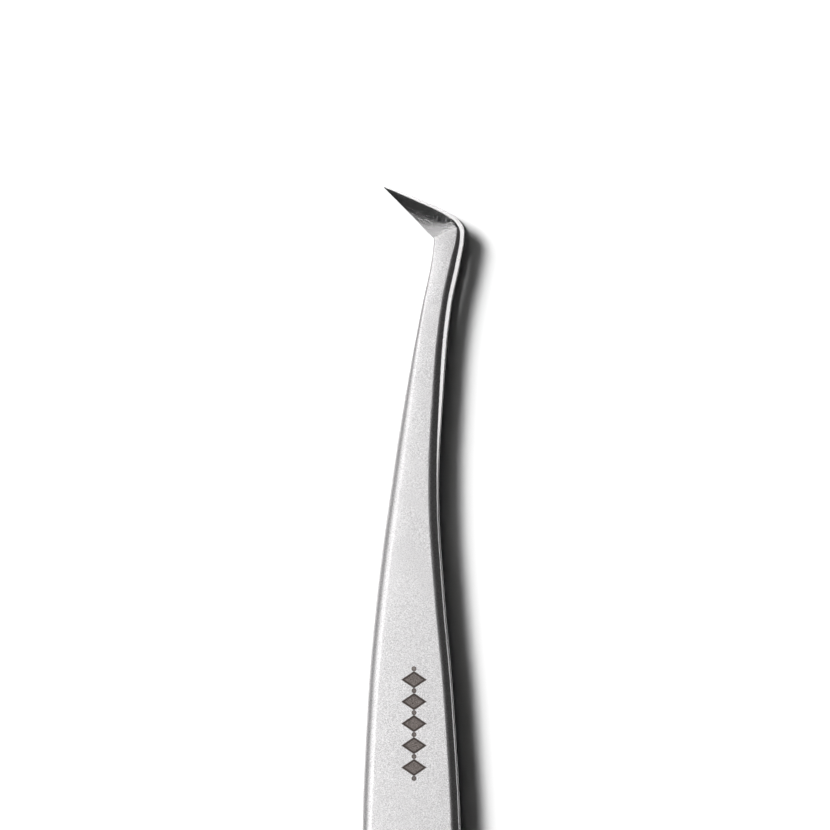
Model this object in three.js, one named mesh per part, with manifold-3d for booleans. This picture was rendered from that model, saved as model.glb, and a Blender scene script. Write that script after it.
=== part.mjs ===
// Eyelash tweezers with a bent toe: two sprung steel arms, one above the other, welded at the tail.
// Millimetres. +Y runs from the tail to the toes, +X is the heel's side, +Z is up.
// The arms are shaped about their own mid-plane, z = 0, and the whole is moved to its base at the end.
import * as THREE from 'three';
import { mergeVertices } from 'three/addons/utils/BufferGeometryUtils.js';
import Module from 'manifold-3d';

const degrees = Math.PI / 180;

// ---- Plan: the outline from above ----
const overallLength = 122; // tail end to the tip of the toe
const tailWidth = 5.6;
const tailRadius = 2; // rounded corners of the tail end
const rearWidth = 8.1; // half way between the tail and the grip
const gripWidth = 10.2; // the widest place
const gripPlace = 52; // tail end to the widest place
const shoulderWidth = 8.65; // where the grip starts to taper
const taperWidth = 6.9;
const waistWidth = 5.04;
const shankWidth = 3.88;
const neckWidth = 3; // the narrowest place, just behind the heel
const heelWidth = 3.15; // crotch to the corner of the heel, sideways
const heelRise = 0.7; // the same, lengthwise
const heelRadius = 2.5; // outside of the bend
const crotchRadius = 0.6; // inside of the bend
const crotchOffset = 2.45; // centre line to the crotch, sideways
const toeReach = 5.2; // crotch to the tip, sideways
const toeRise = 4.57; // crotch to the tip, lengthwise
const tipWidth = 0.2;

// How far behind the crotch each place of the front half lies, and how far off the centre line.
const shoulder = { behind: 46.6, offset: -0.1 };
const taper = { behind: 36.6, offset: -0.1 };
const waist = { behind: 26.6, offset: 0.24 };
const shank = { behind: 16.6, offset: 1.2 };
const neck = { behind: 7.4, offset: 2.44 };

// ---- Side: how far each inner face stands off the mid-plane, and how thick the arm is ----
const landLength = 11; // the welded tail lands, flat against each other
const springLength = 30; // the bowed section that bends
const springAngle = 7; // degrees, how steeply each arm leaves the land
const gripGap = 4.6; // mid-plane to the inner face at the grip
const toeGap = 4.29; // mid-plane to the inner face at the tip, which each arm closes by turning
const toeClearance = 0.03; // left between each toe and the mid-plane when closed
const springThickness = 1.1; // tail and spring section
const gripThickness = 1.5;
const neckThickness = 1.9;
const tipThickness = 0.35;
const creaseShare = 0.4; // share of the heel's turn before the crease, where the toe starts to slope
const creaseFall = 0.12; // share of the toe's slope spent on the rest of the heel's turn

// ---- Section: rounded along the inner edge, rounded and then bevelled along the outer edge ----
const innerRound = 1.08; // width of the rounding
const innerDrop = 0.55; // height of the rounding
const outerRound = 0.9;
const neckRound = 0.7;
const toeRound = 0.12;
const outerDrop = 0.7;
const rearBevel = 0.13; // width of the bevel below the rounding, along the grip
const neckBevel = 0.48;
const toeBevel = 0.26;
const edgeLip = 0.15; // upright edge left at the inner face
const toeCrown = 0.3; // share of the toe's thickness lost towards its outer edge
const crownGrowth = 4; // how quickly that share is reached past the crease
const neckBlend = { behind: 4, ahead: 6 }; // where the neck's section takes over, from the shank
const heelBlend = 0.6; // share of the heel's turn over which the toe's section takes over
const neckSquaring = 0.9; // share of the inner rounding that is gone on the neck
const widestShare = 0.25; // the most of the arm's width that a rounding or bevel may take
const deepestShare = 0.4; // the most of the arm's thickness that a rounding may take
const lipShare = 0.3; // the most of the arm's thickness that the upright edge may take
const innerKnee = { across: 0.3, fall: 0.4 }; // middle point of the inner rounding, as shares
const outerKnee = { across: 0.35, fall: 0.3 }; // middle point of the outer rounding, as shares
const midCrown = 0.3; // share of the crown already lost in the middle of the face

// ---- Spot welds ----
const weldRadius = 1.25;
const weldHalfHeight = 0.35; // how deep the weld reaches into each arm
const weldGap = 0.25; // between a weld and its pocket
const weldPlaces = { tail_weld_front: 7.4, tail_weld_rear: 3.6 }; // from the tail end
const dimpleRadius = 1.4; // electrode marks on the outer faces
const dimpleDepth = 0.1;

// ---- How finely the arms are divided ----
const ribsAt = { tail: 5, body: 54, heel: 12, toe: 12 };
const roundSteps = 24;

const steel = new THREE.MeshStandardMaterial({ color: 0xd9d7d8, roughness: 0.42, metalness: 1 });
const fusedSteel = new THREE.MeshStandardMaterial({ color: 0x9c9894, roughness: 0.6, metalness: 1 });

const manifold = await Module();
manifold.setup();

const point = (x, y) => new THREE.Vector3(x, y, 0);
const { lerp } = THREE.MathUtils;

// 0 before a, 1 after b, and a smooth rise between them.
const rise = (value, a, b) => THREE.MathUtils.smoothstep(value, a, b);

// ---- Outline ----
const crotchY = overallLength - toeRise;
const crotch = point(crotchOffset, crotchY);
const heel = point(crotchOffset + heelWidth, crotchY + heelRise);
const tip = point(crotchOffset - toeReach, overallLength);
const tipOuter = tip.clone().add(point(tipWidth, 0));

const frontPlace = (place, width) => ({ along: crotchY - place.behind, offset: place.offset, width });
const stations = [
  { along: tailRadius, offset: 0, width: tailWidth },
  { along: (tailRadius + gripPlace) / 2, offset: 0, width: rearWidth },
  { along: gripPlace, offset: 0, width: gripWidth },
  frontPlace(shoulder, shoulderWidth),
  frontPlace(taper, taperWidth),
  frontPlace(waist, waistWidth),
  frontPlace(shank, shankWidth),
  frontPlace(neck, neckWidth),
];

// The arc that rounds a corner between two straight lines, as a function of the share of its turn.
function cornerArc(from, corner, to, radius) {
  const back = from.clone().sub(corner).normalize();
  const ahead = to.clone().sub(corner).normalize();
  const half = back.angleTo(ahead) / 2;
  const middle = back.clone().add(ahead).normalize();
  const centre = corner.clone().addScaledVector(middle, radius / Math.sin(half));
  const start = corner.clone().addScaledVector(back, radius / Math.tan(half));
  const turn = Math.PI - 2 * half;
  const spoke = start.clone().sub(centre);
  const up = new THREE.Vector3(0, 0, 1);
  return (share) => spoke.clone().applyAxisAngle(up, turn * share).add(centre);
}

const edgePoints = (side) => stations.map((s) => point(s.offset + (side * s.width) / 2, s.along));
const innerPoints = edgePoints(-1);
const outerPoints = edgePoints(1);
const innerArc = cornerArc(innerPoints.at(-1), crotch, tip, crotchRadius);
const outerArc = cornerArc(outerPoints.at(-1), heel, tipOuter, heelRadius);
const innerEdge = new THREE.CatmullRomCurve3([...innerPoints, innerArc(0)], false, 'centripetal');
const outerEdge = new THREE.CatmullRomCurve3([...outerPoints, outerArc(0)], false, 'centripetal');

// ---- Ribs: straight lines across the arm, from its inner edge to its outer edge ----
// Each rib also holds how far it is round the heel (turn) and along the toe (reach), from 0 to 1.
function makeRibs() {
  const ribs = [];
  for (let i = 0; i < ribsAt.tail; i += 1) {
    const angle = ((i / ribsAt.tail) * Math.PI) / 2;
    const halfWidth = tailWidth / 2 - tailRadius * (1 - Math.sin(angle));
    const along = tailRadius * (1 - Math.cos(angle));
    ribs.push({ inner: point(-halfWidth, along), outer: point(halfWidth, along), turn: 0, reach: 0 });
  }
  for (let i = 0; i < ribsAt.body; i += 1) {
    const share = i / ribsAt.body;
    ribs.push({ inner: innerEdge.getPoint(share), outer: outerEdge.getPoint(share), turn: 0, reach: 0 });
  }
  for (let i = 0; i < ribsAt.heel; i += 1) {
    const turn = i / ribsAt.heel;
    ribs.push({ inner: innerArc(turn), outer: outerArc(turn), turn, reach: 0 });
  }
  for (let i = 0; i <= ribsAt.toe; i += 1) {
    const reach = i / ribsAt.toe;
    const inner = innerArc(1).lerp(tip, reach);
    const outer = outerArc(1).lerp(tipOuter, reach);
    ribs.push({ inner, outer, turn: 1, reach });
  }
  return ribs;
}

// ---- Side profile ----
const springEnd = landLength + springLength;
const closingSlope = (toeGap - toeClearance) / (overallLength - landLength);
const closedHeight = (along) => (along - landLength) * closingSlope + toeClearance;
const neckStart = crotchY - taper.behind;
const neckEnd = crotchY - neck.behind;

// The spring leaves the land at its angle and runs level into the grip.
function bowHeight(along) {
  const share = THREE.MathUtils.clamp((along - landLength) / springLength, 0, 1);
  const leaving = springLength * Math.tan(springAngle * degrees) * share * (1 - share) ** 2;
  return gripGap * rise(along, landLength, springEnd) + leaving;
}

// On the toe the face lies in the plane that meets the mid-plane when the arm has closed.
function innerFaceHeight(along) {
  const converging = rise(along, neckStart, crotchY);
  return lerp(bowHeight(along), closedHeight(along), converging);
}

function thickness(rib, along) {
  const towardsGrip = rise(along, landLength, springEnd);
  const towardsNeck = rise(along, neckStart, neckEnd);
  const shankThickness = lerp(springThickness, gripThickness, towardsGrip);
  const behindCrease = lerp(shankThickness, neckThickness, towardsNeck);
  return lerp(behindCrease, tipThickness, toeSlope(rib));
}

// 0 up to the crease on the heel, 1 at the tip.
function toeSlope(rib) {
  const round = Math.max(0, (rib.turn - creaseShare) / (1 - creaseShare));
  return creaseFall * round + (1 - creaseFall) * rib.reach;
}

// ---- Section: how far across each column lies, and how high its outer face stands ----
function section(rib) {
  const along = (rib.inner.y + rib.outer.y) / 2;
  const width = rib.inner.distanceTo(rib.outer);
  const high = thickness(rib, along);
  const shankY = crotchY - shank.behind;
  const onNeck = rise(along, shankY - neckBlend.behind, shankY + neckBlend.ahead);
  const onBevel = rise(along, crotchY - waist.behind, shankY);
  const onHeel = rise(rib.turn, 0, heelBlend);
  const roundOf = lerp(lerp(outerRound, neckRound, onNeck), toeRound, onHeel);
  const bevelOf = lerp(lerp(rearBevel, neckBevel, onBevel), toeBevel, onHeel);
  const squaring = 1 - neckSquaring * onNeck;
  const inner = Math.min(innerRound * squaring, width * widestShare);
  const round = Math.min(roundOf, width * widestShare);
  const bevel = Math.min(bevelOf, width * widestShare);
  const innerFall = Math.min(innerDrop * squaring, high * deepestShare);
  const outerFall = Math.min(lerp(outerDrop, toeRound, onHeel), high * deepestShare);
  const lip = Math.min(edgeLip, high * lipShare);
  const crown = high * toeCrown * onHeel * Math.min(1, toeSlope(rib) * crownGrowth);
  const face = width - bevel - round;
  return [
    { across: 0, height: high - innerFall },
    { across: inner * innerKnee.across, height: high - innerFall * innerKnee.fall },
    { across: inner, height: high },
    { across: (inner + face) / 2, height: high - crown * midCrown },
    { across: face, height: high - crown },
    { across: width - bevel - round * outerKnee.across, height: high - crown - outerFall * outerKnee.fall },
    { across: width - bevel, height: Math.max(high - crown - outerFall, lip) },
    { across: width, height: lip },
  ].map((column) => ({ ...column, across: column.across / width }));
}

// A box divided into ribs and columns, with each of its points moved to its place on the arm.
function armGeometry() {
  const ribs = makeRibs();
  const sections = ribs.map(section);
  const columns = sections[0].length;
  const box = new THREE.BoxGeometry(1, 1, 1, columns - 1, ribs.length - 1, 1);
  const place = box.attributes.position;
  for (let i = 0; i < place.count; i += 1) {
    const column = Math.round((place.getX(i) + 0.5) * (columns - 1));
    const index = Math.round((place.getY(i) + 0.5) * (ribs.length - 1));
    const rib = ribs[index];
    const { across, height } = sections[index][column];
    const at = rib.inner.clone().lerp(rib.outer, across);
    const base = innerFaceHeight(at.y);
    place.setXYZ(i, at.x, at.y, place.getZ(i) > 0 ? base + height : base);
  }
  return box;
}

// ---- Solids ----
function solidOf(geometry) {
  const bare = geometry.clone();
  bare.deleteAttribute('normal');
  bare.deleteAttribute('uv');
  const merged = mergeVertices(bare, 1e-5);
  const vertProperties = merged.attributes.position.array;
  const triVerts = new Uint32Array(merged.index.array);
  return new manifold.Manifold(new manifold.Mesh({ numProp: 3, vertProperties, triVerts }));
}

function geometryOf(solid) {
  const { vertProperties, triVerts } = solid.getMesh();
  const geometry = new THREE.BufferGeometry();
  geometry.setAttribute('position', new THREE.BufferAttribute(vertProperties, 3));
  geometry.setIndex(new THREE.BufferAttribute(triVerts, 1));
  geometry.computeVertexNormals();
  return geometry;
}

// A lens about its own centre: two shallow domes, rim to rim.
function lensGeometry(radius, halfHeight) {
  const steps = 5;
  const profile = [];
  for (let i = 0; i <= 2 * steps; i += 1) {
    const angle = (i / steps - 1) * (Math.PI / 2);
    profile.push(new THREE.Vector2(radius * Math.cos(angle), halfHeight * Math.sin(angle)));
  }
  profile[0].x = 0;
  profile.at(-1).x = 0;
  const lens = new THREE.LatheGeometry(profile, roundSteps);
  lens.rotateX(Math.PI / 2);
  return lens;
}

function upperArmGeometry() {
  let arm = solidOf(armGeometry());
  for (const along of Object.values(weldPlaces)) {
    const pocket = lensGeometry(weldRadius + weldGap, weldHalfHeight + weldGap);
    pocket.translate(0, along, 0);
    const dimple = lensGeometry(dimpleRadius, dimpleDepth);
    dimple.translate(0, along, springThickness);
    arm = arm.subtract(solidOf(pocket)).subtract(solidOf(dimple));
  }
  return geometryOf(arm);
}

// The same shape on the other side of the mid-plane.
function reflected(geometry) {
  const mirrored = geometry.clone();
  mirrored.scale(1, 1, -1);
  const corners = mirrored.index.array;
  for (let i = 0; i < corners.length; i += 3) {
    [corners[i], corners[i + 1]] = [corners[i + 1], corners[i]];
  }
  mirrored.computeVertexNormals();
  return mirrored;
}

function namedMesh(name, geometry, material) {
  const mesh = new THREE.Mesh(geometry, material);
  mesh.name = name;
  return mesh;
}

// ---- Assembly ----
const tweezers = new THREE.Group();
const upperArm = upperArmGeometry();
tweezers.add(namedMesh('upper_arm', upperArm, steel));
tweezers.add(namedMesh('lower_arm', reflected(upperArm), steel));
for (const [name, along] of Object.entries(weldPlaces)) {
  const weld = namedMesh(name, lensGeometry(weldRadius, weldHalfHeight), fusedSteel);
  weld.position.set(0, along, 0);
  tweezers.add(weld);
}

// The origin is under the middle of the whole, on the surface that the lower arm rests on.
const extent = new THREE.Box3().setFromObject(tweezers);
const middle = extent.getCenter(new THREE.Vector3());
tweezers.position.set(-middle.x, -middle.y, -extent.min.z);

const part = new THREE.Group();
part.add(tweezers);

export default part;
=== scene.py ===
# %% [markdown]
# # Eyelash tweezers with a bent toe
#
# Two steel arms lie on top of each other, welded at the tail. Each arm is a strip that narrows to a neck,
# turns over a rounded heel and ends in a needle-sharp toe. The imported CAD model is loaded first, because
# it fixes the size and the place of everything. Blender works in metres, so `MM` turns millimetres into
# them.

# %% Load the frame
import math

import bpy
import numpy as np
from mathutils import Matrix, Vector


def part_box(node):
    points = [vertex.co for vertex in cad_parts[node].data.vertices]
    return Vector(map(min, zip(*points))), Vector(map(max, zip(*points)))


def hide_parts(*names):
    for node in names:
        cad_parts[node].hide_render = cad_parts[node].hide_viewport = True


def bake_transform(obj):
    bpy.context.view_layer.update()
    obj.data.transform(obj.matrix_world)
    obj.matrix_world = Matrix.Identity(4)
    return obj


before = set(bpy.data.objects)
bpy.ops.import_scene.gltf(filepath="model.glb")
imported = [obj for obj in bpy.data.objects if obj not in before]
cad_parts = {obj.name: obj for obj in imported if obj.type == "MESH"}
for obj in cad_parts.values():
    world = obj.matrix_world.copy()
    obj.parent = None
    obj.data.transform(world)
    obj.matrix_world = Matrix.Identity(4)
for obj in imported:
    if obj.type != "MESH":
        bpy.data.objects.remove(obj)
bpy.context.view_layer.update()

MM = 0.001

# %% [markdown]
# ## Where the arm lies
#
# The arms are drawn in the arm's own measure: `across` runs to the heel's side, `along` from the tail end
# to the toe, and `up` from the plane where the two arms meet. A second ruler could be kept in the head,
# but a small function is safer: every point below goes through `place`, so it lands where the CAD arm is.

# %% The arm's own measure
arm_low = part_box("upper_arm")[0]
HALF_GRIP = 5.1                                    # half the width of the CAD arm at its widest place
CENTRE_LINE = arm_low.x / MM + HALF_GRIP
TAIL_END = arm_low.y / MM
MID_PLANE = arm_low.z / MM


def place(across, along, up=0.0):
    """A point in the arm's own measure, in millimetres, as a point of the frame in metres."""
    return Vector((across + CENTRE_LINE, along + TAIL_END, up + MID_PLANE)) * MM


print("The tail end is at", round(TAIL_END, 2), "mm and the arms meet at", round(MID_PLANE, 2), "mm")

# %% [markdown]
# ## Six rails
#
# The arm could be carved from a block, but its outline is one long sweep, and sweeps are drawn best as
# curves. So six rails are drawn: the two edges of the inner face, the two edges of the outer side, one
# along the middle of the outer face, which lets it swell a little, and one where the face turns over into
# the ground bevel on the heel's side. Each row of the list is a station, a place where the hand would put
# a control point. The two edges are given in plan, then how high the inner face stands, how thick the
# steel is at each edge, how far the top of the heel side's wall is set in, how wide the ground bevel is
# and how far it drops, and how much the face swells in the middle.

# %% Stations
STATIONS = [
    # name          inner edge        outer edge       rise  thick in, out  set in bevel drop  swell kink
    ("tail end",     (-0.80, 0.06),    (0.80, 0.06),    0.00, 1.10, 1.10,  0.02, 0.35, 0.05, 0.00, True),
    ("tail corner",  (-1.57, 0.20),    (1.57, 0.20),    0.00, 1.10, 1.10,  0.02, 0.60, 0.08, 0.00, False),
    ("tail round",   (-2.21, 0.59),    (2.21, 0.59),    0.00, 1.10, 1.10,  0.02, 0.85, 0.11, 0.00, False),
    ("tail side",    (-2.64, 1.24),    (2.64, 1.24),    0.00, 1.10, 1.10,  0.02, 0.98, 0.14, 0.00, False),
    ("tail",         (-2.82, 2.00),    (2.82, 2.00),    0.00, 1.10, 1.10,  0.02, 1.05, 0.15, 0.00, False),
    ("land end",     (-3.22, 11.00),   (3.22, 11.00),   0.00, 1.10, 1.10,  0.02, 1.00, 0.18, 0.00, True),
    ("spring rear",  (-3.66, 18.50),   (3.60, 18.50),   1.24, 1.16, 1.16,  0.02, 0.92, 0.25, 0.01, False),
    ("spring",       (-4.07, 26.00),   (3.98, 26.00),   2.74, 1.30, 1.30,  0.02, 0.84, 0.30, 0.02, False),
    ("spring front", (-4.46, 33.50),   (4.30, 33.50),   4.00, 1.44, 1.44,  0.02, 0.78, 0.34, 0.03, False),
    ("grip rear",    (-4.82, 41.00),   (4.60, 41.00),   4.45, 1.50, 1.50,  0.02, 0.68, 0.36, 0.03, False),
    ("grip",         (-5.09, 52.00),   (4.85, 52.00),   4.53, 1.50, 1.50,  0.02, 0.68, 0.36, 0.03, False),
    ("shoulder",     (-4.44, 70.83),   (3.97, 70.83),   4.54, 1.50, 1.50,  0.02, 0.66, 0.36, 0.03, False),
    ("taper",        (-3.56, 80.83),   (3.10, 80.83),   4.53, 1.50, 1.50,  0.02, 0.70, 0.36, 0.03, False),
    ("waist",        (-2.29, 90.83),   (2.55, 90.83),   4.33, 1.61, 1.61,  0.04, 0.78, 0.36, 0.03, False),
    ("shank",        (-0.75, 100.83),  (3.00, 100.83),  3.96, 1.80, 1.80,  0.29, 0.90, 0.32, 0.02, False),
    ("neck",         (0.97, 110.03),   (3.84, 110.03),  3.90, 1.88, 1.88,  0.37, 0.86, 0.26, 0.01, False),
    ("heel start",   (1.98, 114.80),   (4.81, 114.80),  4.00, 1.88, 1.88,  0.37, 0.84, 0.26, 0.01, False),
    ("heel",         (2.13, 116.05),   (5.12, 117.00),  4.08, 1.87, 1.85,  0.35, 0.70, 0.20, 0.01, False),
    ("crease",       (2.22, 116.78),   (5.02, 117.94),  4.12, 1.86, 1.84,  0.32, 0.54, 0.13, 0.00, True),
    ("crease foot",  (1.78, 117.22),   (4.75, 118.38),  4.14, 1.79, 1.76,  0.28, 0.46, 0.10, 0.00, True),
    ("toe heel",     (1.30, 117.70),   (4.34, 118.84),  4.16, 1.71, 1.57,  0.26, 0.40, 0.08, 0.02, False),
    ("toe root",     (0.70, 118.32),   (3.83, 119.17),  4.17, 1.62, 1.22,  0.24, 0.36, 0.08, 0.07, False),
    ("toe",          (-1.09, 120.14),  (0.70, 120.66),  4.22, 1.06, 0.66,  0.22, 0.30, 0.07, 0.08, False),
    ("tip",          (-2.90, 121.98),  (-2.75, 121.98), 4.29, 0.36, 0.30,  0.04, 0.06, 0.01, 0.00, False),
]
STEPS = 10                                         # pieces of each stretch between two stations
INNER_LOW, OUTER_LOW, INNER_TOP, WALL_TOP, MIDDLE, BEVEL_LINE = range(6)


def rails():
    """Six lists of (point, kink), in the order of the names above."""
    lines = [[] for _ in range(6)]
    for name, inner, outer, rise, thick_in, thick_out, set_in, bevel, drop, swell, kink in STATIONS:
        a, b = Vector(inner), Vector(outer)
        back = (a - b).normalized()
        wall_top = b + back * set_in
        bevel_line = b + back * bevel
        middle = (a + bevel_line) / 2
        outline_kink = kink and not name.startswith("crease")
        lines[INNER_LOW].append((place(*a, rise), kink))
        lines[OUTER_LOW].append((place(*b, rise), outline_kink))
        lines[INNER_TOP].append((place(*a, rise + thick_in), kink))
        lines[WALL_TOP].append((place(*wall_top, rise + thick_out - drop), outline_kink))
        lines[MIDDLE].append((place(*middle, rise + (thick_in + thick_out) / 2 + swell), kink))
        lines[BEVEL_LINE].append((place(*bevel_line, rise + thick_out), kink))
    return lines


print(len(STATIONS), "stations")

# %% [markdown]
# ## Drawing the rails
#
# A Bezier curve with automatic handles runs smoothly through its points, like a thin strip of wood held
# by pins. The rows of points could be placed by hand, but a curve keeps them fair with far fewer places
# to choose. Where the arm has a kink, as at the crease of the toe, the handles are set free and pulled a
# third of the way to each neighbour. That makes a straight stretch that still has the same number of
# steps as the other rails.

# %% Draw the rails
def draw_rail(name, points):
    """Draws one rail as a Bezier curve through its points, and turns it into a row of vertices."""
    bpy.ops.curve.primitive_bezier_curve_add(location=(0, 0, 0))
    rail = bpy.context.object
    rail.name = name
    rail.data.resolution_u = STEPS
    spline = rail.data.splines[0]
    spline.bezier_points.add(len(points) - len(spline.bezier_points))
    for control, (at, _) in zip(spline.bezier_points, points):
        control.co = at
        control.handle_left_type = control.handle_right_type = "AUTO"
    rail.data.update_tag()
    bpy.context.view_layer.update()
    for i, (at, kink) in enumerate(points):
        if kink:
            control = spline.bezier_points[i]
            control.handle_left_type = control.handle_right_type = "FREE"
            control.handle_left = at.lerp(points[max(i - 1, 0)][0], 1 / 3)
            control.handle_right = at.lerp(points[i + 1][0], 1 / 3)
    bpy.ops.object.convert(target="MESH")
    return rail


bpy.ops.object.select_all(action="DESELECT")
drawn = [draw_rail(f"rail_{i}", points) for i, points in enumerate(rails())]
print("Points on each rail:", [len(rail.data.vertices) for rail in drawn])

# %% [markdown]
# ## Bridge the rails
#
# The rails are joined into one mesh, and each pair of neighbours is bridged with faces, as a boat's
# planks join its ribs. Two last faces close the ends. `choose` is the hand's box select: it picks parts
# by a test.

# %% Bridge
def choose(mesh, kind, test):
    """In edit mode, selects only the vertices, edges or faces that pass the test."""
    bpy.ops.object.mode_set(mode="EDIT")
    bpy.ops.mesh.select_mode(type=kind)
    bpy.ops.mesh.select_all(action="DESELECT")
    bpy.ops.object.mode_set(mode="OBJECT")
    parts = {"VERT": mesh.vertices, "EDGE": mesh.edges, "FACE": mesh.polygons}[kind]
    for part in parts:
        part.select = test(part)
    bpy.ops.object.mode_set(mode="EDIT")


def select_only(*pieces):
    """Selects these objects and nothing else, and makes the first the active one."""
    bpy.ops.object.select_all(action="DESELECT")
    for piece in pieces:
        piece.select_set(True)
    bpy.context.view_layer.objects.active = pieces[0]


rail_length = len(drawn[0].data.vertices)
centre_line = [(a.co + b.co) / 2 for a, b in zip(drawn[0].data.vertices, drawn[1].data.vertices)]
select_only(*drawn)
bpy.ops.object.join()
arm = bpy.context.object
arm.name = "upper_arm_steel"
rail_number = arm.data.attributes.new("rail", "INT", "POINT")
rail_number.data.foreach_set("value", [i // rail_length for i in range(len(arm.data.vertices))])


def on_rail(edge, wanted):
    a, b = (v // rail_length for v in edge.vertices)
    return a == b and a in wanted


for pair in ((INNER_LOW, OUTER_LOW), (OUTER_LOW, WALL_TOP), (WALL_TOP, BEVEL_LINE),
             (BEVEL_LINE, MIDDLE), (MIDDLE, INNER_TOP), (INNER_TOP, INNER_LOW)):
    choose(arm.data, "EDGE", lambda edge: on_rail(edge, pair))
    bpy.ops.mesh.bridge_edge_loops()
for end in (0, rail_length - 1):
    choose(arm.data, "VERT", lambda vertex: vertex.index % rail_length == end)
    bpy.ops.mesh.edge_face_add()
bpy.ops.mesh.select_all(action="SELECT")
bpy.ops.mesh.normals_make_consistent(inside=False)
bpy.ops.object.mode_set(mode="OBJECT")
print("The blank arm has", len(arm.data.polygons), "faces")

# %% [markdown]
# ## Rounding the long edges
#
# A real arm is stamped, and then its edges are ground. On the inner side the edge is a broad, even round.
# On the heel's side the bevel line stays crisp and the top of the wall is rounded a little. Each edge
# could be bevelled on its own in edit mode, but its width would then be the same all along. A Bevel
# modifier reads an edge weight, so one modifier rounds every long edge by its own amount, and the amount
# changes along the arm: broad on the grip and only a hair on the toe. Each table has rows of a place and
# a width, both in mm.

# %% Weigh the edges
INNER_ROUND = [(0, 0.30), (3, 0.55), (8, 0.55), (20, 0.75), (30, 0.95), (42, 1.08), (95, 1.08),
               (99, 0.98), (103, 0.72), (107, 0.45), (111, 0.28), (116.5, 0.20), (117.6, 0.08),
               (120.5, 0.05), (122, 0.01)]
WALL_ROUND = [(0, 0.18), (0.6, 0.30), (3, 0.50), (11, 0.46), (30, 0.25), (45, 0.16), (114, 0.16),
              (117, 0.10), (118.6, 0.05), (120.5, 0.04), (122, 0.01)]
BEVEL_ROUND = [(0, 0.04), (3, 0.28), (30, 0.26), (45, 0.22), (90, 0.20), (104, 0.18), (114, 0.16),
               (117, 0.10), (118.6, 0.05), (120.5, 0.03), (122, 0.01)]
LOW_ROUND = [(0, 0.12), (110, 0.12), (116, 0.08), (118.6, 0.03), (122, 0.01)]
FULL_ROUND = 1.1 * MM


def along_of(point):
    return point.y / MM - TAIL_END


def read_off(table, at):
    """The value that a table of (place, value) rows gives at a place between them."""
    for (a, low), (b, high) in zip(table, table[1:]):
        if at <= b:
            return low + (high - low) * max(0.0, (at - a) / (b - a))
    return table[-1][1]


def weigh_edges(mesh):
    """Gives every long edge, and the edges round the tail end, its rounding as a share of FULL_ROUND."""
    number = mesh.attributes["rail"].data
    tables = {INNER_TOP: INNER_ROUND, WALL_TOP: WALL_ROUND, BEVEL_LINE: BEVEL_ROUND,
              INNER_LOW: LOW_ROUND, OUTER_LOW: LOW_ROUND}
    tail_end = max(face.index for face in mesh.polygons if face.normal.y < -0.9)
    ends = set(mesh.polygons[tail_end].edge_keys)
    weights = mesh.attributes.new("bevel_weight_edge", "FLOAT", "EDGE")
    count = 0
    for edge in mesh.edges:
        a, b = (number[v].value for v in edge.vertices)
        middle = (mesh.vertices[edge.vertices[0]].co + mesh.vertices[edge.vertices[1]].co) / 2
        if a == b and a in tables:
            table = tables[a]
        elif edge.key in ends and middle.z > place(0, 0, 0.9).z:
            table = INNER_ROUND
        elif edge.key in ends and middle.z < place(0, 0, 0.1).z:
            table = LOW_ROUND
        else:
            continue
        weights.data[edge.index].value = read_off(table, along_of(middle)) * MM / FULL_ROUND
        count += 1
    return count


print("Weighed", weigh_edges(arm.data), "of", len(arm.data.edges), "edges")

# %% Round them
ROUND_SEGMENTS = 8
rounding = arm.modifiers.new("ground edges", "BEVEL")
rounding.limit_method = "WEIGHT"
rounding.width = FULL_ROUND
rounding.segments = ROUND_SEGMENTS
rounding.use_clamp_overlap = False
select_only(arm)
bpy.ops.object.modifier_apply(modifier="ground edges")
print("The rounded arm has", len(arm.data.polygons), "faces")

# %% [markdown]
# ## Electrode marks and weld pockets
#
# The spot welder's electrodes leave two shallow round marks on the outer face, and inside, each weld
# nugget fills a pocket. They could be pushed in with proportional editing, but a flattened ball and a
# Boolean modifier cut them exactly where the CAD welds are.

# %% Cut the marks
TAIL_THICKNESS = 1.1
MARK_RADIUS, MARK_DEPTH = 1.4, 0.1
POCKET_RADIUS, POCKET_HEIGHT = 1.5, 0.6


def cut_lens(name, centre, radius, half_height):
    """Cuts a lens-shaped hollow out of the arm."""
    bpy.ops.object.select_all(action="DESELECT")
    bpy.ops.mesh.primitive_uv_sphere_add(segments=40, ring_count=20, radius=1, location=centre)
    lens = bpy.context.object
    lens.scale = (radius * MM, radius * MM, half_height * MM)
    bpy.ops.object.transform_apply(location=True, rotation=True, scale=True)
    cut = arm.modifiers.new(name, "BOOLEAN")
    cut.operation = "DIFFERENCE"
    cut.solver = "EXACT"
    cut.object = lens
    select_only(arm)
    bpy.ops.object.modifier_apply(modifier=name)
    bpy.data.objects.remove(lens)


weld_places = []
for node in ("tail_weld_front", "tail_weld_rear"):
    weld_low, weld_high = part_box(node)
    weld_places.append(((weld_low + weld_high) / 2).y / MM - TAIL_END)
for along in weld_places:
    cut_lens("electrode mark", place(0, along, TAIL_THICKNESS), MARK_RADIUS, MARK_DEPTH)
    cut_lens("weld pocket", place(0, along, 0), POCKET_RADIUS, POCKET_HEIGHT)
print("Welds at", [round(w, 2) for w in weld_places], "mm;", len(arm.data.polygons), "faces")

# %% [markdown]
# ## Shading
#
# A ground strip has flat faces that meet in small, even rounds. Plain smooth shading would make the flats
# look pillowy. So only edges gentler than an angle are smoothed, and a Weighted Normal modifier lets the
# large flat faces decide the shading where they meet the small round ones.

# %% Shade it
SMOOTH_BELOW = 32                                  # degrees between two faces
bpy.ops.object.shade_smooth_by_angle(angle=math.radians(SMOOTH_BELOW))
flatten = arm.modifiers.new("keep flats flat", "WEIGHTED_NORMAL")
flatten.keep_sharp = True
bpy.ops.object.modifier_apply(modifier="keep flats flat")
print("Faces on the finished arm:", len(arm.data.polygons))

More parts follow.
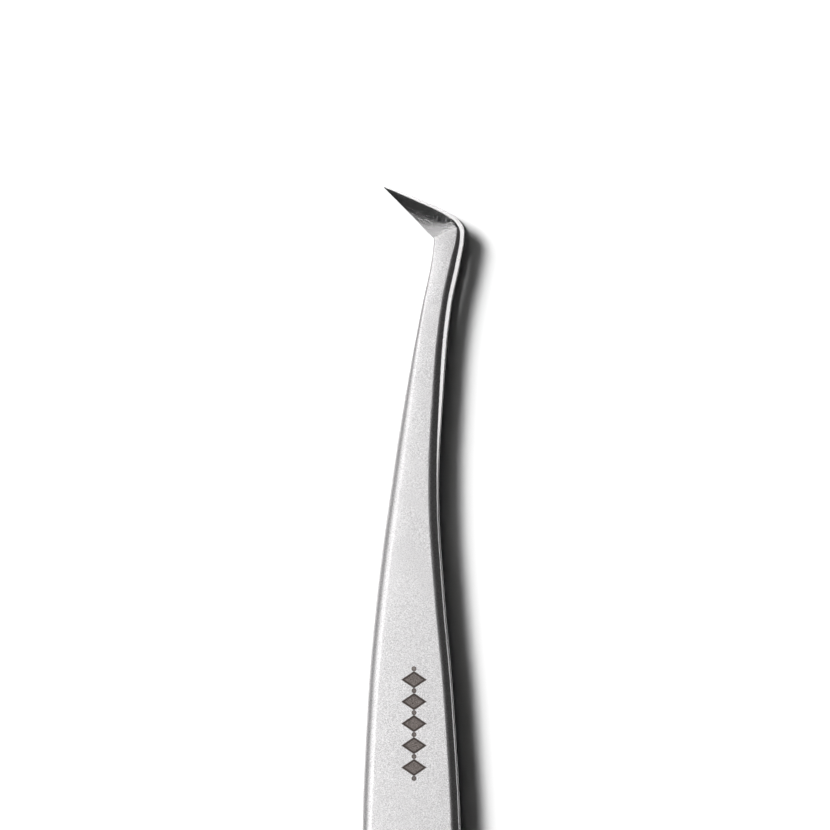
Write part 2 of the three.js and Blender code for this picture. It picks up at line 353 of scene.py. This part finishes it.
# %% [markdown]
# ## Marking what was ground
#
# The outer face is blasted with fine beads, but the ground bevel, the walls and the inner face keep the
# long lines of the grinding belt. The material has to know which is which and which way the arm runs.
# Painting that by hand is slow, so three attributes are worked out: `ground` is 1 where the belt has
# been, `sweep` holds each point's distance across, along and up, measured from the centre line round the
# bend, and `place_on_metal` keeps where the point is at rest, so grain and etching stay put when the arm
# bends.

# %% Attributes for the material
BLASTED_ABOVE = 0.45                               # faces that look up more than this are blasted
BELT_FADE = 0.3                                    # how far below it the belt's finish is full


def mark_surface(piece):
    """Stores `ground`, `sweep` and `place_on_metal` on the points of the upper arm."""
    mesh = piece.data
    points = np.array([v.co for v in mesh.vertices])
    normals = np.array([v.normal for v in mesh.vertices])
    line = np.array(centre_line)
    steps = np.linalg.norm(np.diff(line, axis=0), axis=1)
    travelled = np.concatenate([[0], np.cumsum(steps)])
    sweep = np.zeros((len(points), 3), np.float32)
    for i, point in enumerate(points):
        nearest = int(np.argmin(((line[:, :2] - point[:2]) ** 2).sum(1)))
        before, after = line[max(nearest - 1, 0)], line[min(nearest + 1, len(line) - 1)]
        ahead = (after - before)[:2] / np.linalg.norm((after - before)[:2])
        offset = point[:2] - line[nearest, :2]
        sideways = offset[0] * ahead[1] - offset[1] * ahead[0]
        sweep[i] = (sideways, travelled[nearest] + offset @ ahead, point[2])
    ground = np.clip((BLASTED_ABOVE - normals[:, 2]) / BELT_FADE, 0, 1).astype(np.float32)
    at_rest = points.astype(np.float32).ravel()
    mesh.attributes.new("sweep", "FLOAT_VECTOR", "POINT").data.foreach_set("vector", sweep.ravel())
    mesh.attributes.new("place_on_metal", "FLOAT_VECTOR", "POINT").data.foreach_set("vector", at_rest)
    mesh.attributes.new("ground", "FLOAT", "POINT").data.foreach_set("value", ground)
    return int((ground > 0.5).sum())


print("Points with a ground finish:", mark_surface(arm), "of", len(arm.data.vertices))

# %% [markdown]
# ## The lower arm
#
# The lower arm is the same strip seen in a mirror. It could be drawn again, but then the two toes might
# not meet. So the upper arm is duplicated, with a mesh of its own, and its points are scaled by -1
# through the plane where the two arms meet. That turns it inside out, so its normals are flipped back.

# %% Mirror
select_only(arm)
bpy.ops.object.duplicate()
lower = bpy.context.object
lower.name = "lower_arm_steel"
bpy.ops.object.mode_set(mode="EDIT")
bpy.ops.mesh.select_all(action="SELECT")
bpy.ops.transform.resize(value=(1, 1, -1), center_override=place(0, 0))
bpy.ops.mesh.flip_normals()
bpy.ops.object.mode_set(mode="OBJECT")
print("Lower arm:", len(lower.data.polygons), "faces")

# %% [markdown]
# ## Bead-blasted steel
#
# Blasting peppers the steel with tiny round dents, a tenth of a millimetre across. They scatter the
# light, and the bottoms of the dents are a shade darker. A noise picture could be painted, but a noise
# node is sharper at any size. The grain is a node group, because both finishes use it.

# %% Grain
def new_group(name, inputs, outputs):
    """An empty shader node group. inputs are (name, type, value), outputs are (name, type)."""
    group = bpy.data.node_groups.new(name, "ShaderNodeTree")
    for title, kind, value in inputs:
        socket = group.interface.new_socket(title, in_out="INPUT", socket_type=kind)
        if value is not None:
            socket.default_value = value
    for title, kind in outputs:
        group.interface.new_socket(title, in_out="OUTPUT", socket_type=kind)
    return group, group.nodes.new("NodeGroupInput"), group.nodes.new("NodeGroupOutput")


def join(tree, source, target):
    tree.links.new(source, target)


def math_node(tree, operation, first, second=None):
    """A Math node. Each value is a number or a socket."""
    node = tree.nodes.new("ShaderNodeMath")
    node.operation = operation
    for socket, value in zip(node.inputs, (first, second)):
        if value is None:
            continue
        if isinstance(value, (int, float)):
            socket.default_value = value
        else:
            join(tree, value, socket)
    return node.outputs[0]


def spread(tree, value, low, high, to_low=0.0, to_high=1.0):
    """Stretches low..high of a value to another range, and holds it there."""
    node = tree.nodes.new("ShaderNodeMapRange")
    node.clamp = True
    join(tree, value, node.inputs["Value"])
    for title, number in zip(("From Min", "From Max", "To Min", "To Max"), (low, high, to_low, to_high)):
        node.inputs[title].default_value = number
    return node.outputs["Result"]


def noise_node(tree, vector, scale, detail=2.0, roughness=0.6):
    node = tree.nodes.new("ShaderNodeTexNoise")
    join(tree, vector, node.inputs["Vector"])
    node.inputs["Scale"].default_value = scale
    node.inputs["Detail"].default_value = detail
    node.inputs["Roughness"].default_value = roughness
    return node.outputs["Fac"]


FINE_GRAINS, COARSE_GRAINS, CLOUDS = 16000.0, 7000.0, 420.0     # noise scales, in waves to a metre
COARSE_SHARE = 0.2
GRAIN_CONTRAST, CLOUD_CONTRAST = (0.37, 0.63), (0.3, 0.7)


def grain_group():
    """Blasted grain: Height for the bump, Shade for the colour and Cloud for slow changes of tone."""
    group, given, result = new_group(
        "blasted grain",
        [("Vector", "NodeSocketVector", None), ("Grains", "NodeSocketFloat", FINE_GRAINS)],
        [("Height", "NodeSocketFloat"), ("Shade", "NodeSocketFloat"), ("Cloud", "NodeSocketFloat")],
    )
    fine = noise_node(group, given.outputs["Vector"], 1.0, 1.5, 0.65)
    join(group, given.outputs["Grains"], fine.node.inputs["Scale"])
    coarse = noise_node(group, given.outputs["Vector"], COARSE_GRAINS, 1.0)
    fine_part = math_node(group, "MULTIPLY", fine, 1 - COARSE_SHARE)
    height = math_node(group, "ADD", fine_part, math_node(group, "MULTIPLY", coarse, COARSE_SHARE))
    cloud = noise_node(group, given.outputs["Vector"], CLOUDS, 2.0)
    join(group, height, result.inputs["Height"])
    join(group, spread(group, height, *GRAIN_CONTRAST), result.inputs["Shade"])
    join(group, spread(group, cloud, *CLOUD_CONTRAST), result.inputs["Cloud"])
    return group


blasted_grain = grain_group()
print("Made", blasted_grain.name)

# %% [markdown]
# ## Grinding lines
#
# A belt leaves lines that run along the arm and round its bend. Straight lines would be easy, but they
# would run off the edge at the heel. So the noise reads the `sweep` attribute, which follows the bend,
# and it is stretched: fine across, long along.

# %% Grinding lines
LINES = 14000.0
LINE_CONTRAST = (0.35, 0.65)
LINE_STRETCH = 0.02                                # the lines are fifty times longer than wide


def lines_group():
    """Grinding lines along the arm, as Height and Shade. Its Vector is the `sweep` attribute."""
    group, given, result = new_group(
        "grinding lines",
        [("Vector", "NodeSocketVector", None)],
        [("Height", "NodeSocketFloat"), ("Shade", "NodeSocketFloat")],
    )
    stretch = group.nodes.new("ShaderNodeMapping")
    stretch.inputs["Scale"].default_value = (1.0, LINE_STRETCH, 1.0)
    join(group, given.outputs["Vector"], stretch.inputs["Vector"])
    lines = noise_node(group, stretch.outputs["Vector"], LINES, 2.0)
    join(group, lines, result.inputs["Height"])
    join(group, spread(group, lines, *LINE_CONTRAST), result.inputs["Shade"])
    return group


grinding_lines = lines_group()
print("Made", grinding_lines.name)

# %% [markdown]
# ## The etched ornament
#
# A laser darkens the steel without cutting it. The mark on this arm is a plain chain of lozenges and dots
# along the grip. It could be a decal, but a few Math nodes draw it at any size: the distance from the
# middle of a lozenge is |across| / half its width plus |along| / half its length, and it is repeated by
# folding the length over and over. The laser runs round each shape once more, so the rim is darker than
# the filling.

# %% Etched ornament
ORNAMENT_PLACE = place(0.2, 68.3)
LOZENGE_WIDTH, LOZENGE_LENGTH, LOZENGE_PITCH = 2.5, 1.7, 2.2
LOZENGES = 5
DOT_RADIUS = 0.24
SHAPE_EDGE = (1.02, 1.10)                          # where a shape ends, if 1 is its outline
RIM_EDGE = (0.72, 0.86)                            # where its darker rim starts
RAGGED = 0.10                                      # how far the laser strays, as a share of a shape
OUTER_FACE = 5.7                                   # the mark is only on steel higher than this, in mm


def ornament_group():
    """The etched chain: Fill is 1 inside the shapes, and Rim is 1 along their edges."""
    group, given, result = new_group(
        "etched ornament",
        [("Vector", "NodeSocketVector", None)],
        [("Fill", "NodeSocketFloat"), ("Rim", "NodeSocketFloat")],
    )
    centre = group.nodes.new("ShaderNodeMapping")
    centre.inputs["Location"].default_value = tuple(-c / MM for c in ORNAMENT_PLACE)
    centre.inputs["Scale"].default_value = (1 / MM, 1 / MM, 1 / MM)
    join(group, given.outputs["Vector"], centre.inputs["Vector"])
    parts = group.nodes.new("ShaderNodeSeparateXYZ")
    join(group, centre.outputs["Vector"], parts.inputs[0])
    ragged = math_node(group, "MULTIPLY", noise_node(group, centre.outputs["Vector"], 9.0), RAGGED)
    across = math_node(group, "ABSOLUTE", parts.outputs["X"])
    length = math_node(group, "ABSOLUTE", parts.outputs["Y"])
    folded = math_node(group, "PINGPONG", length, LOZENGE_PITCH / 2)
    lozenge = math_node(group, "ADD", math_node(group, "DIVIDE", across, LOZENGE_WIDTH / 2),
                        math_node(group, "DIVIDE", folded, LOZENGE_LENGTH / 2))
    beside = math_node(group, "SUBTRACT", LOZENGE_PITCH / 2, folded)
    squares = math_node(group, "ADD", math_node(group, "POWER", across, 2.0),
                        math_node(group, "POWER", beside, 2.0))
    distance = math_node(group, "SQRT", squares)
    dot = math_node(group, "DIVIDE", distance, DOT_RADIUS)
    shape = math_node(group, "ADD", math_node(group, "MINIMUM", lozenge, dot), ragged)
    inside = spread(group, shape, *SHAPE_EDGE, 1.0, 0.0)
    within = math_node(group, "LESS_THAN", length, LOZENGE_PITCH * LOZENGES / 2 + DOT_RADIUS)
    outer_face = math_node(group, "GREATER_THAN", parts.outputs["Z"], OUTER_FACE)
    mask = math_node(group, "MULTIPLY", math_node(group, "MULTIPLY", inside, within), outer_face)
    join(group, mask, result.inputs["Fill"])
    rim = math_node(group, "MULTIPLY", mask, spread(group, shape, *RIM_EDGE))
    join(group, rim, result.inputs["Rim"])
    return group


etched_ornament = ornament_group()
print("Made", etched_ornament.name)

# %% [markdown]
# ## The arms' steel
#
# The finishes meet in one material. Each could be a material of its own, given to the faces that have it,
# but then they would change at an edge, and on real steel they run into each other. So the grain and the
# grinding lines are mixed by the `ground` attribute, and the ornament darkens and roughens the steel. The
# toe is worked once more after the bend: its face is polished towards the tip and peppered with deeper
# dimples in the crotch, where a polishing wheel doesn't reach.

# %% Tools for mixing
def mix_colour(tree, factor, first, second):
    """A colour mix. factor, first and second are each a number, a colour or a socket."""
    node = tree.nodes.new("ShaderNodeMix")
    node.data_type = "RGBA"
    for socket, value in ((node.inputs[0], factor), (node.inputs[6], first), (node.inputs[7], second)):
        if hasattr(value, "is_linked"):
            join(tree, value, socket)
        else:
            socket.default_value = value
    return node.outputs[2]


def mix_value(tree, factor, first, second):
    """A mix of two numbers or number sockets."""
    node = tree.nodes.new("ShaderNodeMix")
    node.data_type = "FLOAT"
    for socket, value in ((node.inputs[0], factor), (node.inputs[2], first), (node.inputs[3], second)):
        if hasattr(value, "is_linked"):
            join(tree, value, socket)
        else:
            socket.default_value = value
    return node.outputs[0]


def place_group(tree, group, vector):
    """Adds one of the node groups, fed with a place."""
    node = tree.nodes.new("ShaderNodeGroup")
    node.node_tree = group
    join(tree, vector, node.inputs["Vector"])
    return node


def attribute(tree, name, output):
    """Reads an attribute that is stored on the mesh."""
    node = tree.nodes.new("ShaderNodeAttribute")
    node.attribute_name = name
    return node.outputs[output]


def bump_node(tree, height, distance, normal=None):
    """Turns a height into a normal. distance is how deep a height of 1 is, in metres."""
    node = tree.nodes.new("ShaderNodeBump")
    node.inputs["Distance"].default_value = distance
    node.inputs["Strength"].default_value = 1.0
    join(tree, height, node.inputs["Height"])
    if normal is not None:
        join(tree, normal, node.inputs["Normal"])
    return node.outputs["Normal"]


print("Ready to mix colours, values and bumps")

# %% Masks for the toe
CREASE_INNER, CREASE_OUTER = place(2.22, 116.78), place(5.02, 117.94)
CREASE_WIDTH = 0.3 * MM
CROTCH = place(1.6, 117.4, 5.8)
DIMPLES_FULL, DIMPLES_END = 0.5 * MM, 4.2 * MM     # how far from the crotch the dimples are full, and end


def toe_mask(tree, where):
    """1 on the toe and 0 behind the crease, measured square to the crease."""
    crease = (CREASE_OUTER - CREASE_INNER).normalized()
    ahead = (-crease.y, crease.x)
    start = ahead[0] * CREASE_INNER.x + ahead[1] * CREASE_INNER.y
    parts = tree.nodes.new("ShaderNodeSeparateXYZ")
    join(tree, where, parts.inputs[0])
    sideways = math_node(tree, "MULTIPLY", parts.outputs["X"], ahead[0])
    distance = math_node(tree, "ADD", math_node(tree, "MULTIPLY", parts.outputs["Y"], ahead[1]), sideways)
    return spread(tree, distance, start, start + CREASE_WIDTH)


def near_crotch(tree, where):
    """1 by the inner corner of the crease, fading to 0 towards the tip."""
    away = tree.nodes.new("ShaderNodeVectorMath")
    away.operation = "DISTANCE"
    join(tree, where, away.inputs[0])
    away.inputs[1].default_value = CROTCH
    return spread(tree, away.outputs["Value"], DIMPLES_FULL, DIMPLES_END, 1.0, 0.0)


print("The crease is", round((CREASE_OUTER - CREASE_INNER).length / MM, 2), "mm long")

# %% Blasted steel
STEEL_DARK = (0.48, 0.47, 0.475, 1)
STEEL_LIGHT = (0.97, 0.96, 0.965, 1)
GROUND_DARK = (0.66, 0.65, 0.65, 1)
GROUND_LIGHT = (0.82, 0.81, 0.81, 1)
ETCH_FILL = (0.44, 0.39, 0.37, 1)
ETCH_RIM = (0.115, 0.095, 0.088, 1)
FACE_ROUGHNESS = (0.29, 0.34)
TOE_ROUGHNESS = 0.24
GROUND_ROUGHNESS = 0.26
ETCH_ROUGHNESS = 0.55
ETCH_DARK = (0.13, 0.11, 0.10, 1)
GRAIN_DEPTH, LINE_DEPTH = 0.018 * MM, 0.002 * MM
DIMPLES, DIMPLE_DEPTH = 12000.0, 3.0               # waves to a metre, and depth beside the grain's


def steel_material(name, marked):
    """The steel of an arm, with the etched chain on it if it is marked."""
    material = bpy.data.materials.new(name)
    material.use_nodes = True
    tree = material.node_tree
    shader = tree.nodes["Principled BSDF"]
    shader.inputs["Metallic"].default_value = 1.0
    where = attribute(tree, "place_on_metal", "Vector")
    sweep = attribute(tree, "sweep", "Vector")
    ground = attribute(tree, "ground", "Fac")
    grain = place_group(tree, blasted_grain, where)
    lines = place_group(tree, grinding_lines, sweep)

    blasted = mix_colour(tree, grain.outputs["Shade"], STEEL_DARK, STEEL_LIGHT)
    belted = mix_colour(tree, lines.outputs["Shade"], GROUND_DARK, GROUND_LIGHT)
    colour = mix_colour(tree, ground, blasted, belted)
    cloudy = mix_value(tree, grain.outputs["Cloud"], *FACE_ROUGHNESS)
    toe = toe_mask(tree, where)
    roughness = mix_value(tree, ground, mix_value(tree, toe, cloudy, TOE_ROUGHNESS), GROUND_ROUGHNESS)
    if marked:
        mark = place_group(tree, etched_ornament, where)
        filling = mix_colour(tree, grain.outputs["Shade"], ETCH_DARK, ETCH_FILL)
        colour = mix_colour(tree, mark.outputs["Fill"], colour, filling)
        colour = mix_colour(tree, mark.outputs["Rim"], colour, ETCH_RIM)
        roughness = mix_value(tree, mark.outputs["Fill"], roughness, ETCH_ROUGHNESS)
    join(tree, colour, shader.inputs["Base Color"])
    join(tree, roughness, shader.inputs["Roughness"])

    dimpled = math_node(tree, "MULTIPLY", toe, near_crotch(tree, where))
    dimples = math_node(tree, "MULTIPLY", noise_node(tree, where, DIMPLES, 0.0), dimpled)
    dimples = math_node(tree, "MULTIPLY", dimples, DIMPLE_DEPTH)
    dents = math_node(tree, "ADD", grain.outputs["Height"], dimples)
    blasted_only = math_node(tree, "MULTIPLY", dents, math_node(tree, "SUBTRACT", 1.0, ground))
    lines_only = math_node(tree, "MULTIPLY", lines.outputs["Height"], ground)
    normal = bump_node(tree, blasted_only, GRAIN_DEPTH)
    join(tree, bump_node(tree, lines_only, LINE_DEPTH, normal), shader.inputs["Normal"])
    return material


blasted_steel = steel_material("blasted_steel", marked=True)
lower_steel = steel_material("lower_blasted_steel", marked=False)
for piece, material in ((arm, blasted_steel), (lower, lower_steel)):
    piece.data.materials.clear()
    piece.data.materials.append(material)
print("Blasted steel on both arms")

# %% [markdown]
# ## Fused steel
#
# A spot weld melts the two arms together into a dull nugget. It is hidden between them, and it keeps its
# CAD mesh, so it only needs a skin: the rough, slightly browned one of steel that has been molten. The
# blasted grain, made larger and duller, stands in well for its pitted surface.

# %% Fused steel
FUSED_DARK, FUSED_BROWN = (0.34, 0.29, 0.25, 1), (0.55, 0.52, 0.50, 1)
FUSED_LIGHT = (0.60, 0.58, 0.56, 1)
FUSED_GRAINS, FUSED_DEPTH = 3000.0, 0.02 * MM
FUSED_ROUGHNESS = (0.62, 0.45)


def fused_material():
    """The skin of the weld nuggets."""
    material = bpy.data.materials.new("fused_steel")
    material.use_nodes = True
    tree = material.node_tree
    shader = tree.nodes["Principled BSDF"]
    shader.inputs["Metallic"].default_value = 1.0
    where = tree.nodes.new("ShaderNodeTexCoord").outputs["Object"]
    grain = place_group(tree, blasted_grain, where)
    grain.inputs["Grains"].default_value = FUSED_GRAINS
    brown = mix_colour(tree, grain.outputs["Cloud"], FUSED_DARK, FUSED_BROWN)
    join(tree, mix_colour(tree, grain.outputs["Shade"], brown, FUSED_LIGHT), shader.inputs["Base Color"])
    join(tree, mix_value(tree, grain.outputs["Shade"], *FUSED_ROUGHNESS), shader.inputs["Roughness"])
    join(tree, bump_node(tree, grain.outputs["Height"], FUSED_DEPTH), shader.inputs["Normal"])
    return material


fused_steel = fused_material()
for name in ("tail_weld_front", "tail_weld_rear"):
    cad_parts[name].data.materials.clear()
    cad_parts[name].data.materials.append(fused_steel)
print("Fused steel on the two welds")

# %% [markdown]
# ## Settling the arms
#
# The tail stays still and each arm is a leaf spring that bends from it, so turning a whole arm about one
# line would show a kink. Here each arm's place is baked into its mesh, and the CAD arm it replaces is
# hidden.

# %% Bake the arms in place
for piece, node in ((arm, "upper_arm"), (lower, "lower_arm")):
    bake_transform(piece)
    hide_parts(node)

# %% [markdown]
# ## The table
#
# The tweezers lie on a wide, matt, white table. A white paint would throw light back into its own shadows
# and wash them out. So the paint is a middle grey and the lamps bring it up to white, which keeps the
# shadow deep. It has no gloss, so it doesn't show the lamps.

# %% Table
TABLE_PAINT = (0.3, 0.3, 0.3, 1)
bpy.ops.object.select_all(action="DESELECT")
bpy.ops.mesh.primitive_plane_add(size=30, location=(0, 0, 0))
table = bpy.context.object
table.name = "white_table"
paint = bpy.data.materials.new("white_table")
paint.use_nodes = True
coat = paint.node_tree.nodes["Principled BSDF"]
coat.inputs["Base Color"].default_value = TABLE_PAINT
coat.inputs["Roughness"].default_value = 0.9
coat.inputs["Specular IOR Level"].default_value = 0.0
table.data.materials.append(paint)
print("The table is", round(table.dimensions.x), "m wide")

# %% [markdown]
# ## Soft light
#
# Steel shows its surroundings more than its own colour, so the lamps are drawn for their reflections. A
# broad scrim hangs overhead and to the left, brightest a little off the top, and fades towards the left
# wall. The right side stays dark, which draws the ground bevel as a black line. A set of soft suns lights
# the table from the same side and throws a short shadow; they don't show in the steel.

# %% Lamps
AIM = place(0.3, 99.3, 6.0)


def facing(back):
    """The turn that points -Z against `back` and keeps X level, so a lamp or a camera isn't rolled."""
    right = Vector((back.z, 0, -back.x)).normalized()
    return Matrix((right, back.cross(right), back)).transposed().to_euler()


def direction_of(left, front):
    """The direction that leans so many degrees to the left and towards the toe, from straight up."""
    return Vector((-math.sin(math.radians(left)), math.sin(math.radians(front)),
                   math.cos(math.radians(left)) * math.cos(math.radians(front)))).normalized()


def scrim(name, left, front, across, length, radiance, distance=1.0):
    """A lamp that is only seen in the steel. left, front, across and length are in degrees."""
    data = bpy.data.lights.new(name, "AREA")
    data.shape = "RECTANGLE"
    data.size = 2 * distance * math.tan(math.radians(across / 2))
    data.size_y = 2 * distance * math.tan(math.radians(length / 2))
    data.energy = math.pi * data.size * data.size_y * radiance
    lamp = bpy.data.objects.new(name, data)
    bpy.context.collection.objects.link(lamp)
    back = direction_of(left, front)
    lamp.location = AIM + back * distance
    lamp.rotation_euler = facing(back)
    lamp.visible_diffuse = lamp.visible_camera = False


def table_sun(name, left, front, softness, strength):
    """A soft sun that lights the table and isn't seen in the steel."""
    data = bpy.data.lights.new(name, "SUN")
    data.angle = math.radians(softness)
    data.energy = strength
    lamp = bpy.data.objects.new(name, data)
    bpy.context.collection.objects.link(lamp)
    lamp.rotation_euler = facing(direction_of(left, front))
    lamp.visible_glossy = False


scrim("overhead_scrim", 2, -12, 17, 34, 1.2)
scrim("key_scrim", 20, -12, 20, 34, 2.0)
scrim("toe_scrim", 6, 12.0, 40, 6, 4.1, distance=0.9)
scrim("left_scrim", 45, -6, 30, 60, 1.35)
scrim("left_wall_scrim", 76, 0, 32, 80, 0.66)
table_sun("narrow_sun", 11.5, 8, 7, 6.0)
table_sun("wide_sun", 15, 10.5, 10, 5.2)
table_sun("broad_sun", 30, 14, 60, 1.6)

# %% [markdown]
# ## Reflector cards
#
# The polished walls of the arms look sideways, past the scrims, and would mirror an empty room. In a
# studio, cards stand beside such steel. A dark card on the right keeps the heel's side black, and a grey
# one on the left gives the inner side a soft tone. Lamps could do it too, but a card has clean edges and
# an even tone. The cards glow a little by themselves, and only the steel sees them.

# %% Reflector cards
def card(name, across, tone, low, high, length=0.5):
    """An upright card beside the tweezers. Only the steel sees it."""
    bpy.ops.object.select_all(action="DESELECT")
    bpy.ops.mesh.primitive_plane_add(size=1, location=(0, 0, 0))
    board = bpy.context.object
    board.name = name
    for vertex in board.data.vertices:
        vertex.co = Vector((across, vertex.co.y * length, low if vertex.co.x < 0 else high))
    stuff = bpy.data.materials.new(name)
    stuff.use_nodes = True
    shader = stuff.node_tree.nodes["Principled BSDF"]
    shader.inputs["Base Color"].default_value = (0, 0, 0, 1)
    shader.inputs["Specular IOR Level"].default_value = 0.0
    shader.inputs["Emission Color"].default_value = (tone, tone, tone, 1)
    shader.inputs["Emission Strength"].default_value = 1.0
    board.data.materials.append(stuff)
    board.visible_camera = board.visible_diffuse = board.visible_shadow = False


card("dark_card", 0.017, 0.045, 0.0001, 0.08)
card("grey_card", -0.022, 0.42, 0.0001, 0.02)
print("Cards beside the tweezers: dark_card and grey_card")

# %% [markdown]
# ## The world
#
# A studio is dark outside the lamps, so the world is nearly black for the steel and the shadows. Where
# the camera sees past the table it should be pale, so a Light Path node gives the camera's own rays a
# white sky.

# %% World
world = bpy.data.worlds.new("studio")
bpy.context.scene.world = world
world.use_nodes = True
sky = world.node_tree
shade = sky.nodes["Background"]
shade.inputs["Color"].default_value = (0.01, 0.01, 0.01, 1)
pale = sky.nodes.new("ShaderNodeBackground")
pale.inputs["Color"].default_value = (1.0, 1.0, 1.0, 1)
seen = sky.nodes.new("ShaderNodeLightPath")
choice = sky.nodes.new("ShaderNodeMixShader")
join(sky, seen.outputs["Is Camera Ray"], choice.inputs["Fac"])
join(sky, shade.outputs[0], choice.inputs[1])
join(sky, pale.outputs[0], choice.inputs[2])
join(sky, choice.outputs[0], sky.nodes["World Output"].inputs["Surface"])
print("World:", world.name)

# %% [markdown]
# ## The camera
#
# The camera looks almost straight down from a metre away with a long lens, so that near and far parts
# keep their size. It leans a little to the right and towards the toe, which lets a sliver of the lower
# arm show.

# %% Camera
LEAN_RIGHT, LEAN_FRONT = 1.0, 1.5
CAMERA_DISTANCE = 1.0
FIELD = 0.083                                      # how much the view shows from side to side, in m
SENSOR = 36
camera_data = bpy.data.cameras.new("camera")
camera = bpy.data.objects.new("camera", camera_data)
bpy.context.collection.objects.link(camera)
camera_data.sensor_width = SENSOR
camera_data.lens = SENSOR * CAMERA_DISTANCE / FIELD
camera_data.clip_start = 0.01
sight = direction_of(-LEAN_RIGHT, LEAN_FRONT)
camera.location = place(0.3, 99.2, 6.1) + sight * CAMERA_DISTANCE
camera.rotation_euler = facing(sight)
bpy.context.scene.camera = camera
bpy.context.scene.view_settings.view_transform = "Standard"
print("Lens", round(camera_data.lens), "mm")
